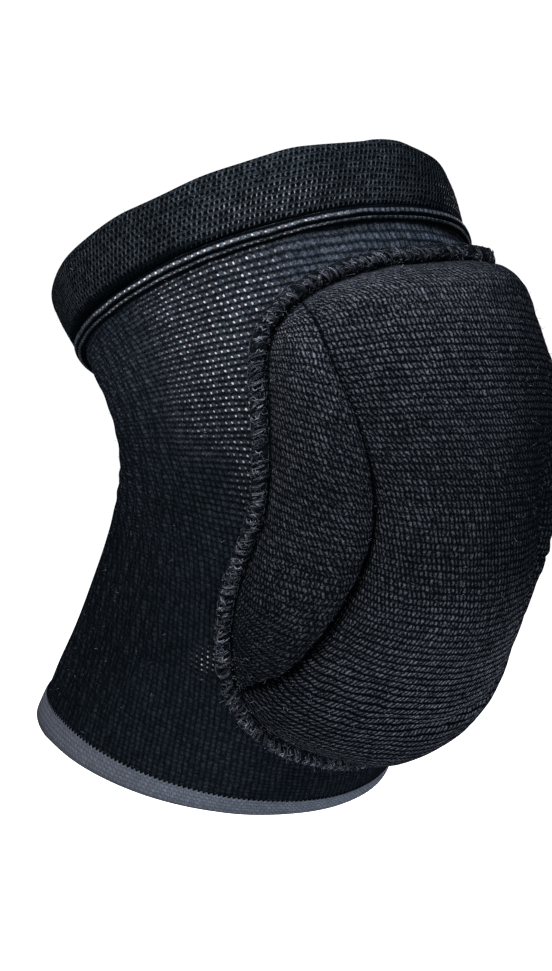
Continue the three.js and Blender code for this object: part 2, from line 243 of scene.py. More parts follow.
def knitMaterial(name, **look):
    # Yarn loops in rows. The knit's own coordinates are in mm, so waleSize and courseSize are the real loop's.
    # A slant, wobble or rowDepth of None is painted on the mesh instead.
    look = {**blackYarn, **look}
    material, tree, shader = newMaterial(name, yarnFinish)
    places = addNode(tree, "ShaderNodeUVMap", uv_map="knit")
    room = addNode(tree, "ShaderNodeTexCoord").outputs["Object"]
    for scale, amount in ((110, look["drift"]), (650, look["wobble"])):  # 9 and 1.5 mm: loops never sit quite in line
        noise = addNode(tree, "ShaderNodeTexNoise", {"Vector": room, "Scale": scale, "Detail": 1})
        values = [noise.outputs["Color"], (0.5, 0.5, 0.5)]
        shift = addNode(tree, "ShaderNodeVectorMath", values, operation="SUBTRACT")
        amount = painted(tree, "wobble") if amount is None else (amount,) * 3
        places = addNode(tree, "ShaderNodeVectorMath", [shift, amount, places], operation="MULTIPLY_ADD")
    xy = addNode(tree, "ShaderNodeSeparateXYZ", [places])
    row = calc(tree, "DIVIDE", xy.outputs["Y"], look["courseSize"])
    rowNumber = calc(tree, "FLOOR", row)
    inRow = calc(tree, "FRACT", row)
    slant = painted(tree, "slant") if look["slant"] is None else look["slant"]
    lean = calc(tree, "MULTIPLY", calc(tree, "SUBTRACT", inRow, 0.5), slant)
    step = calc(tree, "MULTIPLY_ADD", rowNumber, look["rowShift"], lean)
    loop = calc(tree, "MULTIPLY_ADD", xy.outputs["X"], 1 / look["waleSize"], step)
    toGap = calc(tree, "PINGPONG", loop, 0.5)  # 0 between two loops, 0.5 on the yarn
    toRow = calc(tree, "PINGPONG", row, 0.5)  # 0 between two rows
    yarn = smooth(tree, toGap, look["gap"], look["gap"] + look["round"], 1 - look["yarnDepth"], 1)
    depth = painted(tree, "rowDepth") if look["rowDepth"] is None else look["rowDepth"]
    rowFloor = calc(tree, "SUBTRACT", 1, depth)
    course = smooth(tree, toRow, look["rowGap"], look["rowGap"] + look["rowRound"], rowFloor, 1)
    height = calc(tree, "MULTIPLY", yarn, course)
    fromRow = calc(tree, "SUBTRACT", 0.5, toRow)

    def chance(loopNumber):
        cell = addNode(tree, "ShaderNodeCombineXYZ", [loopNumber, rowNumber])
        return addNode(tree, "ShaderNodeTexWhiteNoise", {"Vector": cell}, noise_dimensions="2D").outputs["Value"]

    def spot(acrossLoop, wide, high, edge, middle):
        parts = [calc(tree, "DIVIDE", *part) for part in ((acrossLoop, wide), (fromRow, high))]
        reach = calc(tree, "ADD", *(calc(tree, "POWER", part, 2) for part in parts))
        return smooth(tree, reach, 1, 0.1, edge, middle)

    if look["holeDepth"]:  # the dark hole in the middle of a loop
        hole = spot(calc(tree, "SUBTRACT", 0.5, toGap), look["holeWide"], look["holeHigh"], 1, 1 - look["holeDepth"])
        height = calc(tree, "MULTIPLY", height, hole)
    if look["ribs"]:  # pairs of wales stand up as ribs
        ribWide = look["waleSize"] * look["ribs"]
        toRib = calc(tree, "PINGPONG", xy.outputs["X"], ribWide / 2)
        ribTop = smooth(tree, toRib, 0, ribWide / 4, 1 - look["ribDepth"], 1)
        ribTop = {"Factor": painted(tree, "ribbed"), 2: 1.0, 3: ribTop}
        ribTop = addNode(tree, "ShaderNodeMix", ribTop, data_type="FLOAT")
        height = calc(tree, "MULTIPLY", height, ribTop)
    hairs = {"Vector": room, "Scale": 1000 / look["grain"], "Detail": 2, "Roughness": 0.6}
    hairs = addNode(tree, "ShaderNodeTexNoise", hairs)
    clouds = addNode(tree, "ShaderNodeTexNoise", {"Vector": room, "Scale": 38, "Detail": 3})  # 26 mm patches
    tone = calc(tree, "POWER", height, look["contrast"])
    for factor in (
        plainRange(tree, hairs, 0.36, 0.64, look["fluff"]),
        plainRange(tree, chance(calc(tree, "FLOOR", loop)), 0, 1, look["uneven"]),
        plainRange(tree, clouds, 0.3, 0.7, look["patchy"]),
        # painted highlight: the top of each row is made lighter
        plainRange(tree, inRow, 0, 1, look["topLight"]),
        # painted light and shade, given on the mesh as its tone
        painted(tree, "tone"),
    ):
        tone = calc(tree, "MULTIPLY", tone, factor)
    color = blend(tree, tone, linear(look["valley"]), linear(look["crest"]), clamp_factor=False)
    if look["elastic"]:  # pale rubber thread shows as dots where the stretched loops open
        bright = smooth(tree, chance(calc(tree, "ROUND", loop)), 0, 1, 0.25, 1)
        shown = calc(tree, "MULTIPLY", painted(tree, "elastic"), bright)
        dot = calc(tree, "MULTIPLY", spot(toGap, look["dotWide"], look["dotHigh"], 0, 1), shown)
        color = blend(tree, dot, color, linear(look["elastic"]))
    relief = calc(tree, "MULTIPLY_ADD", hairs, look["fluff"] * 0.4, height)
    finishMaterial(tree, shader, color, relief, look["relief"])
    return material


blackYarn = {
    "valley": "#010203", "crest": "#171b21", "contrast": 1.3, "grain": 0.44, "fluff": 0.75, "uneven": 0.35,
    "patchy": 0.2, "topLight": 0.0, "drift": 0.9, "wobble": 0.5, "slant": 0.0, "rowShift": 0.0,
    "gap": 0.0, "round": 0.3, "yarnDepth": 0.5, "rowGap": 0.0, "rowRound": 0.3, "rowDepth": 0.6,
    "holeDepth": 0, "ribs": 0, "elastic": None, "relief": 0.7,
}
yarnFinish = {"Roughness": 0.9, "IOR": 1.53, "Specular IOR Level": 0.0}

# Nylon and rubber rib knit, circular knitted: matt, with dark gaps between rows and pale dots of rubber
ribKnit = knitMaterial(
    "nylonRibKnit", waleSize=1.88, courseSize=1.72, rowShift=0.3, yarnDepth=0.6, rowDepth=None, rowRound=0.34,
    slant=0.2, fluff=0.7, grain=0.6, uneven=0.4, ribs=2, ribDepth=0.55, elastic="#7b787c", dotWide=0.21, dotHigh=0.23,
)
# The same yarn knitted double for the cuff: rows of slanted dark holes, each row offset from the last
cuffKnit = knitMaterial(
    "nylonDoubleKnit", crest="#0d1013", waleSize=1.72, courseSize=2.0, rowShift=0.5, slant=-0.35, yarnDepth=-0.8,
    round=0.35, rowDepth=0.4, holeDepth=1.0, holeWide=0.36, holeHigh=0.37, wobble=0.7, fluff=0.9, grain=0.6,
    uneven=0.45, elastic="#7b787c", dotWide=0.16, dotHigh=0.18,
)
# The rolled welt: two rows of loops with the rubber thread showing between them
weltKnit = knitMaterial(
    "nylonWeltKnit", crest="#1d2126", waleSize=1.75, courseSize=3.1, rowShift=0.5, yarnDepth=0.7, rowGap=0.14,
    rowRound=0.2, rowDepth=1.0, elastic="#8a8384", dotWide=0.27, dotHigh=0.16,
)
# Heavier jersey knit over the foam: fat rows, each a string of slanted loops, matt, with a painted highlight along
# the top of each row
coverKnit = knitMaterial(
    "nylonJerseyKnit", crest="#222429", waleSize=1.45, courseSize=2.25, slant=None, rowShift=0.37, wobble=None,
    gap=0.03, round=0.32, yarnDepth=0.9, rowGap=0.08, rowRound=0.16, rowDepth=None, fluff=1.0, grain=0.62,
    topLight=0.35, relief=0.8,
)
# Grey covering yarn knitted tight over the hem: fine upright ribs
hemKnit = knitMaterial(
    "greyBoundKnit", valley="#17181b", crest="#2a2e35", uneven=0.2, fluff=0.35, patchy=0.1, wobble=0.35,
    waleSize=1.7, courseSize=1.5, slant=0.5, yarnDepth=0.4, rowDepth=0.3, relief=0.4,
)


def plainMaterial(name, dark, light, grain, relief, finish, toned=False):
    material, tree, shader = newMaterial(name, finish)
    room = addNode(tree, "ShaderNodeTexCoord").outputs["Object"]
    spots = {"Vector": room, "Scale": 1000 / grain, "Detail": 4, "Roughness": 0.65}
    spots = addNode(tree, "ShaderNodeTexNoise", spots)
    share = addNode(tree, "ShaderNodeMapRange", [spots, 0.32, 0.68, 0, 1])
    # toned: the colour is scaled by the mesh's tone, which holds painted light and shade, and on the threads also
    # their own random paleness
    if toned:
        share = calc(tree, "MULTIPLY", share, painted(tree, "tone"))
    finishMaterial(tree, shader, blend(tree, share, linear(dark), linear(light)), spots, relief)
    return material


# Textured polyester overlock thread: soft and matt, some strands paler than others, with painted shade and painted
# highlight from the mesh's tone
overlockThread = plainMaterial(
    "polyesterOverlockThread", "#020304", "#474b54", 0.5, 0.15,
    {"Roughness": 0.9, "IOR": 1.57, "Specular IOR Level": 0.0}, toned=True,
)
# The cut edge of the knit under those threads: dark and crumbly
rawEdge = plainMaterial(
    "cutKnitEdge", "#010203", "#07090c", 0.8, 0.5,
    {"Roughness": 0.95, "IOR": 1.53, "Specular IOR Level": 0.0},
)
# Open-cell polyurethane foam: dull dark grey with fine pores
padFoam = plainMaterial(
    "polyurethaneFoam", "#1d1d1f", "#3a3a3d", 0.9, 0.3,
    {"Roughness": 1.0, "IOR": 1.5, "Specular IOR Level": 0.2},
)
print("materials made")

# The pad's edge and folds, as part.mjs has them: (degrees around, up)
padForm = {
    "edge": [
        (0, 0.178), (16, 0.194), (29, 0.213), (39.5, 0.239), (48.5, 0.286), (55.3, 0.352), (59, 0.44),
        (54.5, 0.545), (51.8, 0.66), (48.2, 0.74), (38, 0.783), (21, 0.804), (0, 0.811),
    ],
    "fold": [(42.8, 0.354), (34.3, 0.438), (29, 0.51), (28.3, 0.57), (31.3, 0.64), (36, 0.72)],
    "lowerCorner": 4, "upperCorner": 10, "cornerBlunt": 0.25,  # points of the edge where the folds meet it
    "knitWall": 1.8, "clearance": 0.3, "coverWall": 1.5,  # mm, as the rises and the widths over which they grow
    "centreRise": 17, "wingRise": 18, "foldRise": 13.3, "swellPower": 2.3,
    "upperRound": 13, "lowerRound": 22, "sideRound": 28, "foldRound": 10,
    "standOff": 9.5,  # mm that its edge stands off the sleeve at the far upper corner
    "standTilt": math.radians(60),  # how far the seam stands up there
}
seat = padForm["knitWall"] + padForm["clearance"]


def smoothCurve(points, place, closed):  # through the points, by row
    points = np.asarray(points, float)
    count = len(points)
    if closed:
        place = np.mod(place, count)
        i = np.floor(place).astype(int)
        a, b, c, d = (points[(i + k) % count] for k in (-1, 0, 1, 2))
    else:
        place = np.clip(place, 0, count - 1)
        i = np.minimum(place.astype(int), count - 2)
        a, b, c, d = (points[np.clip(i + k, 0, count - 1)] for k in (-1, 0, 1, 2))
    s = (place - i)[..., None]
    return b + 0.5 * s * (c - a + s * (2 * a - 5 * b + 4 * c - d + s * (3 * (b - c) + d - a)))


halfEdge = [(math.radians(a), u) for a, u in padForm["edge"]]
edgeLoop = halfEdge + [(-a, u) for a, u in halfEdge[1:-1]][::-1]
edgeAt = lambda row: smoothCurve(edgeLoop, np.asarray(row, float), True)
foldPoints = [(math.radians(a), u) for a, u in padForm["fold"]]
foldPoints = [edgeAt(padForm["lowerCorner"]), *foldPoints, edgeAt(padForm["upperCorner"])]
foldAt = lambda v: smoothCurve(foldPoints, np.asarray(v, float) * (len(foldPoints) - 1), False)
topRow = len(halfEdge) - 1
mirror = np.array([-1, 1])


def centrePatch(u, v):
    lows = edgeAt((2 * u - 1) * padForm["lowerCorner"])
    highs = edgeAt(topRow + (1 - 2 * u) * (topRow - padForm["upperCorner"]))
    fold, start, end = foldAt(v), foldAt(0.0), foldAt(1.0)
    u, v = u[..., None], v[..., None]
    sides = (1 - u) * (fold * mirror) + u * fold
    corners = (1 - u) * ((start * (1 - v) + end * v) * mirror) + u * (start * (1 - v) + end * v)
    return (1 - v) * lows + v * highs + sides - corners


def wingPatch(u, v):
    first, last = padForm["lowerCorner"] + padForm["cornerBlunt"], padForm["upperCorner"] - padForm["cornerBlunt"]
    return foldAt(v) * (1 - u[..., None]) + edgeAt(first + (last - first) * v) * u[..., None]


def onSleeve(places):
    return offPlaces(places, padForm["knitWall"])


edgeSamples = onSleeve(edgeAt(np.linspace(0, len(edgeLoop), 481)))
foldSamples = np.concatenate([onSleeve(foldAt(np.linspace(0, 1, 241)) * side) for side in (1, mirror)])


def nearest(points, samples):
    flat = points.reshape(-1, 3)
    best = np.empty(len(flat))
    for start in range(0, len(flat), 4000):  # in parts, to spare memory
        part = flat[start : start + 4000]
        best[start : start + 4000] = np.sqrt(((part[:, None] - samples[None]) ** 2).sum(-1)).min(1)
    return best.reshape(points.shape[:-1])


def swell(distance, width):  # from 0 at the edge to 1 that far in, steep at first
    return 1 - (1 - np.minimum(distance / width, 1)) ** padForm["swellPower"]


def standOff(places):
    return padForm["standOff"] * hump(np.degrees(places[..., 0]), 6, 23, 12) * ease(places[..., 1], 0.66, 0.78)


def coverShape(places, fullRise):
    around, up = places[..., 0], places[..., 1]
    onKnit = onSleeve(places)
    high = ease(up, 0.5, 0.72)  # towards the top the fold is only a thin line
    lowerRound = padForm["lowerRound"] + 5 * hump(np.degrees(around), -36, 36, 12)
    edgeRound = np.where(up > 0.5, padForm["upperRound"], lowerRound)
    sideRound = padForm["sideRound"] - 12 * high
    edgeRound = edgeRound + (sideRound - edgeRound) * ease(sideOf(around), 25, 50)
    toEdge, toFold = nearest(onKnit, edgeSamples), nearest(onKnit, foldSamples)
    outer, inner = swell(toEdge, edgeRound), swell(toFold, padForm["foldRound"])
    foldRise = padForm["foldRise"] + 2.6 * high
    rise = outer * (foldRise + (fullRise - foldRise) * inner)
    return seat + padForm["clearance"] + padForm["coverWall"] + rise, toEdge, toFold


# Sleeve
sleeve = {
    "columns": 784, "rows": 112, "wales": 196, "waleSize": 1.88,
    "low": 7.9, "high": 160.7, "wall": 1.8,  # mm
    "ribDepth": 0.42,  # mm, the ribs at the back of the knee
    "creaseDepth": 0.35,  # mm, where the sleeve bunches behind the knee
}


def backness(around):
    return ease(sideOf(around), 62, 92)


def backDip(around, height):  # mm that the lower end hangs down behind
    return 3.4 * ease(sideOf(around), 92, 140) * (1 - ease(height, 8, 60))


def sleeveShape(around, height, lift):
    up = height / bore["length"]
    outside = lift > 0.9
    behind = backness(around)
    fine, broad = np.cos(around * sleeve["wales"] / 2), np.cos(around * sleeve["wales"] / 4)
    ribs = (fine * (0.25 + 0.5 * behind) + broad * 0.8 * behind) * sleeve["ribDepth"]
    ends = hump(up, 0.075, 0.85, 0.035)
    base = borePoint(around, up)
    bunch = np.sin((height + 4 * waves(base, 60, 3)) * 2 * math.pi / 13) * sleeve["creaseDepth"]
    bunch = bunch * ease(sideOf(around), 105, 150) * hump(up, 0.4, 0.76, 0.12)
    tucks = 0.45 * np.sin((height - 156 + 1.2 * waves(base, 70, 5)) * 2 * math.pi / 4.3) * ease(up, 0.82, 0.845)
    tucks = tucks * (1 - ease(up, 0.872, 0.88)) * hump(np.degrees(around), -55, 60, 14)
    lumps = 0.3 * waves(base, 34, 8) * ends
    # under the pad nothing rises
    underPad = hump(np.degrees(around), -62, 62, 4) * hump(up, 0.15, 0.83, 0.015)
    change = (ribs * ends + bunch + lumps) * (1 - underPad) + tucks + 0.5 * (1 - ease(height, 8, 30))
    ragged = 0.35 * waves(base, 60, 23) * (1 - ease(height, 8, 14))  # as the hem's
    return height + ragged - backDip(around, height), np.where(outside, lift + change, lift)


def elasticTone(around, up):
    side = sideOf(around)
    upper = hump(side, 42, 80, 8) * ease(up, 0.58, 0.7) * (1 - ease(up, 0.845, 0.86))
    besideSeam = hump(side, 56, 64, 4) * hump(up, 0.545, 0.64, 0.03)
    patch = np.exp(-(((side - 61.5) / 2.6) ** 2) - ((up - 0.306) / 0.017) ** 2)
    soft = 0.08 * hump(side, 18, 44, 8) * hump(up, 0.82, 0.87, 0.02)
    return np.clip(upper * (0.26 + 0.52 * ease(side, 86, 62)) + 0.35 * besideSeam + 0.9 * patch + soft, 0, 1)


def sleeveLightAndShade(around, up):
    side = sideOf(around)
    # Painted light and shade on the sleeve: darker low down and lighter towards the top, a little lighter on its
    # sides, darker in a patch on the sides at mid height.
    lit = 0.2 + 0.15 * ease(up, 0.36, 0.52) + 0.32 * ease(up, 0.6, 0.8)
    lit = lit + 0.5 * hump(np.degrees(around), -32, 24, 14) * ease(up, 0.8, 0.82)  # painted highlight on the tucks above the pad
    lit = lit * (1 - 0.55 * ease(up, 0.852, 0.862))  # painted shade in the groove under the welt
    return lit * (1 + 0.15 * hump(side, 30, 70, 15)) * (1 - 0.25 * hump(up, 0.42, 0.56, 0.05) * hump(side, 55, 85, 8))


outerHeights = np.linspace(sleeve["low"], sleeve["high"], sleeve["rows"])
innerHeights = np.linspace(sleeve["high"], sleeve["low"], 12)
sleeveKnit = bandPiece(
    "sleeve_knit",
    np.concatenate([outerHeights, innerHeights]),
    np.concatenate([np.full(sleeve["rows"], sleeve["wall"]), np.zeros(12)]),
    sleeve,
    sleeveShape,
    {
        "elastic": elasticTone,
        "tone": sleeveLightAndShade,
        "ribbed": lambda around, up: 0.2 + 0.8 * backness(around),
        "rowDepth": lambda around, up: 0.35 + 0.35 * ease(up, 0.4, 0.55) * (1 - 0.6 * backness(around)),
    },
)
dress(sleeveKnit, ribKnit, "sleeve")
print("sleeve made")

# Folded cuff, and the rolled welt under it
cuff = {"columns": 720, "low": 161, "high": 182, "rowRise": 0.28, "courses": 10, "wales": 230, "waleSize": 1.9}


def cuffShape(around, height, lift):
    outside = lift > 1.9
    share = (height - cuff["low"]) / (cuff["high"] - cuff["low"])
    rows = np.abs(np.sin(share * cuff["courses"] * math.pi)) ** 0.7 * cuff["rowRise"] - 0.12
    base = borePoint(around, height / bore["length"])
    degrees = np.degrees(around)
    sway = 0.55 * waves(base, 48, 11) * ease(share, 0, 0.25)
    slack = 0.9 * np.sin((degrees - 14) / 9) * hump(degrees, -4, 52, 12) * (1 - ease(share, 0.35, 0.95))
    edge = 0.45 * waves(base, 30, 13) * ease(share, 0.6, 1)
    sway = sway - 1.4 * hump(degrees, 28, 80, 15)
    outer = lift + rows * hump(share, 0.08, 0.94, 0.05) + sway + slack
    return height + edge, np.where(outside, outer, lift + 0.3 * sway * (lift > 0.05))


def cuffElastic(around, up):
    return 0.4 * hump(sideOf(around), 20, 52, 12) * hump(up, 0.89, 0.945, 0.01)


def cuffLightAndShade(around, up):
    # Painted light and shade on the cuff: painted shade on its far side and round the back, a little lighter on its
    # sides, and a dark painted shade line along its lower edge, in the groove above the welt.
    side = sideOf(around)
    low = up + 0.008 - 0.014 * ease(side, 30, 80)
    shade = 1 - 0.7 * hump(np.degrees(around), 4, 60, 14)
    shade = shade * (1 + 0.15 * hump(side, 15, 55, 18) - 0.2 * ease(side, 90, 130))
    return shade * (0.04 + 0.96 * ease(low, 0.888, 0.903))


cuffRise = np.array(
    [(161, 0.4), (161, 1.3), (161, 2.2), (161.5, 2.75), (162.4, 3.1), (163.3, 3.4)]
    + [(h, 3.6) for h in np.linspace(164.2, 173, 26)]
    + [(h, 3.6 - 0.35 * (h - 173) / 7.2) for h in np.linspace(173.4, 180.2, 20)]
    + [(180.9, 3.0), (181.5, 2.6), (181.9, 2.1), (182, 1.6), (181.9, 1.1), (181.6, 0.6), (181.1, 0.15), (180, 0)]
    + [(h, 0) for h in (177, 173, 169, 165, 162, 161)]
)
cuffPiece = bandPiece("folded_cuff", *cuffRise.T, cuff, cuffShape, {"elastic": cuffElastic, "tone": cuffLightAndShade})
dress(cuffPiece, cuffKnit, "top_cuff")

welt = {"columns": 640, "low": 155.7, "high": 160.7, "rise": 2.4, "wales": 205, "waleSize": 1.75}


def weltShape(around, height, lift):
    base = borePoint(around, height / bore["length"])
    raised = lift > seat + 0.3
    drawn = 1.0 * hump(np.degrees(around), 30, 75, 12)
    return height + 0.3 * waves(base, 60, 17), np.where(raised, lift * (1 + 0.08 * waves(base, 25, 19)) - drawn, lift)


def weltElastic(around, up):
    return hump(sideOf(around), 24, 95, 14) * (0.35 + 0.65 * ease(up, 0.865, 0.875))


def weltLightAndShade(around, up):
    # Painted light and shade on the welt: painted shade in the grooves along its top and bottom edges, lighter on its
    # sides, painted shade on its far side.
    grooveShade = 0.15 + 0.85 * hump(up, 0.859, 0.8795, 0.003)
    lit = 0.9 + 0.35 * hump(sideOf(around), 10, 90, 15)
    return lit * grooveShade * (1 - 0.4 * hump(np.degrees(around), 16, 60, 14))


turn = np.linspace(0, math.pi, 30)
weltHeights = (welt["low"] + welt["high"]) / 2 - np.cos(turn) * (welt["high"] - welt["low"]) / 2
weltLifts = seat + np.sin(turn) ** 0.8 * welt["rise"] - 0.95 * np.exp(-(((turn - 1.2) / 0.16) ** 2))
rollRun = np.interp(turn, [0, 0.25, 1.2, 2.25, math.pi], [-0.8, 0, 3.1, 6.2, 8])  # each roll is one row of loops
weltPiece = bandPiece(
    "rolled_welt",
    np.concatenate([weltHeights, np.linspace(welt["high"] - 0.6, welt["low"] + 0.6, 5)]),
    np.concatenate([weltLifts, np.full(5, seat)]),
    welt,
    weltShape,
    {"elastic": weltElastic, "tone": weltLightAndShade},
    run=np.concatenate([rollRun, np.linspace(8.3, 11.3, 6)]),
)
dress(weltPiece, weltKnit, "cuff_welt")
print("cuff and welt made")

# Grey bound hem, with a sawtooth of loops along its top
hem = {"columns": 1380, "wales": 230, "waleSize": 1.7, "toothRise": 0.55}  # each wale ends in a tooth


def hemShape(around, height, lift):
    tooth = 2 * np.abs((around / (2 * math.pi) * hem["wales"]) % 1 - 0.5)
    base = borePoint(around, height / bore["length"])
    ribs = 0.22 * np.sin(tooth * math.pi / 2) * hump(height, 1.2, 8.1, 0.6)
    grown = height + (tooth - 0.5) * 2 * hem["toothRise"] * ease(height, 6.4, 8.5) * (lift > 2.48)
    grown = grown + 0.35 * waves(base, 60, 23) - backDip(around, height)
    return grown, np.where(lift > 1.3, lift + ribs + 0.12 * waves(base, 40, 29), lift)


def hemLightAndShade(around, up):
    # Painted light and shade on the hem: darker along its lower rim and lower part, darker towards its sides.
    height = up * bore["length"]
    lit = 0.3 + 0.55 * ease(height, 0.5, 1.8) + 0.25 * ease(height, 2.6, 3.6)
    return lit * (1 - 0.3 * ease(sideOf(around), 45, 85))


hemRise = np.array(
    [(1.4, 0), (0.5, 0.25), (0.1, 0.9), (0, 1.6), (0.3, 2.3), (0.8, 2.65), (1.5, 2.85), (2.3, 2.9), (3.1, 2.88)]
    + [(3.9, 2.86), (5.0, 2.84), (6.2, 2.82), (7.4, 2.8), (8.2, 2.75), (8.5, 2.62), (8.2, 2.5), (7.8, 2.46)]
    + [(7.7, 1.2), (7.7, 0.4), (7.2, 0), (5, 0), (2.6, 0)]
)
hemPiece = bandPiece("bound_hem", *hemRise.T, hem, hemShape, {"tone": hemLightAndShade})
dress(hemPiece, hemKnit, "bottom_hem")
print("hem made")

# Cover of the pad
cover = {
    "rows": 190, "wingColumns": 38, "centreColumns": 104,
    "creaseDepth": 3.2,  # mm that the fold is drawn in below the padding beside it
    "creaseWidth": 0.95,
    "pressure": 3.5,
    "swellLimit": 2.2,  # mm that the cloth may move in the simulation
    "shoulder": -4.2,  # mm that the far upper shoulder is drawn in
}


def coverPlaces(rows, wingColumns, centreColumns):
    crowd = lambda n: 0.55 * np.linspace(0, 1, n) + 0.45 * (1 - np.cos(np.linspace(0, 1, n) * math.pi)) / 2
    v, u = np.meshgrid(crowd(rows), crowd(wingColumns + 1), indexing="ij")
    right = wingPatch(u, v)
    left = right[:, ::-1] * mirror
    v, u = np.meshgrid(crowd(rows), crowd(centreColumns + 1), indexing="ij")
    centre = centrePatch(u, v)
    places = np.concatenate([left[:, :-1], centre, right[:, 1:]], 1)
    lobe = np.concatenate([np.full(wingColumns, -1), np.zeros(centreColumns + 1), np.full(wingColumns, 1)])
    return places, np.repeat(lobe[None], rows, 0)


def shoulderPull(places, toEdge):  # the far upper corner is rounder than the near one
    around, up = places[..., 0], places[..., 1]
    far = np.exp(-(((np.degrees(around) - 34) / 17) ** 2)) * ease(toEdge, 0, 8)
    pull = cover["shoulder"] * np.exp(-(((up - 0.775) / 0.045) ** 2))
    return far * (pull + 1.2 * np.exp(-(((up - 0.66) / 0.04) ** 2)))


def coverLifts(places, lobe):
    centreLift, toEdge, toFold = coverShape(places, padForm["centreRise"])
    wingLift = coverShape(places, padForm["wingRise"])[0]
    lift = np.where(lobe == 0, centreLift, wingLift)
    lift = lift + standOff(places) * np.exp(-toEdge / 9) + shoulderPull(places, toEdge)
    deep = cover["creaseDepth"] * (0.25 + ease(places[..., 1], 0.66, 0.44)) * ease(toEdge, 0.5, 5)
    lift = lift - deep * np.exp(-((toFold / cover["creaseWidth"]) ** 2))
    return lift, toEdge, toFold


def swollen(places, lobe):
    # Cloth held along its edge and folds, swollen by a little pressure; what comes back is how far each place rose
    rows, columns = places.shape[:2]
    lift, toEdge, toFold = coverLifts(places, lobe)
    points = offPlaces(places, lift - 0.6)
    outward = unit(np.cross(np.gradient(points, axis=1), np.gradient(points, axis=0)))
    faces, _ = gridFaces(rows, columns)
    trial = addPiece("cover_trial", points.reshape(-1, 3), faces)
    held = trial.vertex_groups.new(name="held")
    grip = np.clip(np.exp(-((toEdge / 2.5) ** 2)) + np.exp(-((toFold / 2.2) ** 2)), 0, 1).ravel()
    for i, weight in enumerate(grip.tolist()):
        held.add([i], weight, "REPLACE")
    cloth = trial.modifiers.new("Cloth", "CLOTH")
    for name, value in {
        "quality": 6, "mass": 0.15, "tension_stiffness": 12, "compression_stiffness": 12, "shear_stiffness": 6,
        "bending_stiffness": 0.4, "shrink_min": -0.035, "vertex_group_mass": "held", "use_pressure": True,
        "uniform_pressure_force": cover["pressure"],
    }.items():
        setattr(cloth.settings, name, value)
    cloth.settings.effector_weights.gravity = 0
    cloth.collision_settings.use_collision = False
    cloth.point_cache.frame_end = 20
    for number in range(1, 21):
        bpy.context.scene.frame_set(number)
    settled = trial.evaluated_get(bpy.context.evaluated_depsgraph_get()).to_mesh()
    after = np.zeros(rows * columns * 3)
    settled.vertices.foreach_get("co", after)
    bpy.context.scene.frame_set(1)
    bpy.data.objects.remove(trial)
    moved = ((after.reshape(rows, columns, 3) / mm - points) * outward).sum(-1)
    return np.clip(moved, -cover["swellLimit"], cover["swellLimit"])


def stretchTo(values, rows, columns):  # a coarse grid of values, read at the places of a finer one
    r = np.linspace(0, values.shape[0] - 1, rows)
    c = np.linspace(0, values.shape[1] - 1, columns)
    i, j = np.minimum(r.astype(int), values.shape[0] - 2), np.minimum(c.astype(int), values.shape[1] - 2)
    fr, fc = (r - i)[:, None], (c - j)[None]
    pick = lambda a, b: values[np.ix_(i + a, j + b)]
    return (pick(0, 0) * (1 - fc) + pick(0, 1) * fc) * (1 - fr) + (pick(1, 0) * (1 - fc) + pick(1, 1) * fc) * fr


coverGrid, coverLobe = coverPlaces(cover["rows"], cover["wingColumns"], cover["centreColumns"])
coverLift, toEdge, toFold = coverLifts(coverGrid, coverLobe)
roughGrid, roughLobe = coverPlaces(cover["rows"] // 2, cover["wingColumns"] // 2, cover["centreColumns"] // 2)
risen = stretchTo(swollen(roughGrid, roughLobe), *coverLift.shape)
print("cover swollen, mm:", round(float(risen.min()), 2), "to", round(float(risen.max()), 2))
coverLift = coverLift + risen * ease(toEdge, 0.2, 3) * ease(toFold, 0.2, 2.5)

around, up = coverGrid[..., 0], coverGrid[..., 1]
coverOut = offPlaces(coverGrid, coverLift)
outward = unit(np.cross(np.gradient(coverOut, axis=1), np.gradient(coverOut, axis=0)))
puckers = np.sin((up * bore["length"] + 1.5 * waves(coverOut, 40, 31)) * 2 * math.pi / 5.2)
puckers = puckers * np.exp(-((toFold / 5.5) ** 2))  # beside the folds, 5.2 mm apart
uneven = 0.16 * puckers * ease(toEdge, 2, 9) + 0.22 * waves(coverOut, 22, 37) * ease(toEdge, 1, 9)
coverOut = coverOut + outward * uneven[..., None]
coverIn = coverOut - outward * padForm["coverWall"]
out = boreOut(around, up)
sunk = ((coverIn - offPlaces(coverGrid, seat + 0.1)) * out).sum(-1)
coverIn = coverIn + out * np.maximum(0, 0.2 - sunk)[..., None]  # its inside stays off the sleeve

gridRows, gridColumns = coverOut.shape[:2]
allFaces, allCorners = shellFaces(gridRows, gridColumns)

# On the middle lobe the rows of loops run level round the knee; on the wings they follow the lobe and dip to the fold
stepAcross = np.linalg.norm(np.diff(coverOut, axis=1), axis=-1)
runAcross = np.concatenate([np.zeros((gridRows, 1)), np.cumsum(stepAcross, 1)], 1)
middle = gridColumns // 2
runAcross = (runAcross - runAcross[:, middle : middle + 1]) * (0.93 - 0.2 * ease(up, 0.46, 0.32))
centreClimb, wingClimb = runOf(coverOut[:, middle]), runOf(coverOut[:, cover["wingColumns"] // 2])
level = np.interp(up, up[:, middle], centreClimb)
level = level + (up - np.clip(up, up[0, middle], up[-1, middle])) * 300  # past the middle's ends it goes on as steep
fromEdge = np.abs(np.arange(gridColumns) - middle) - cover["centreColumns"] / 2
fromEdge = np.clip(fromEdge, 0, None) / cover["wingColumns"]
dip = (7 - 9 * np.linspace(0, 1, gridRows))[:, None] * (1 - fromEdge)[None]
knitUp = np.where(coverLobe == 0, 0.78 * level + 0.22 * centreClimb[:, None], wingClimb[:, None] + dip + 0.7)
knit = np.stack([runAcross, knitUp], -1)
sideways = np.degrees(around)
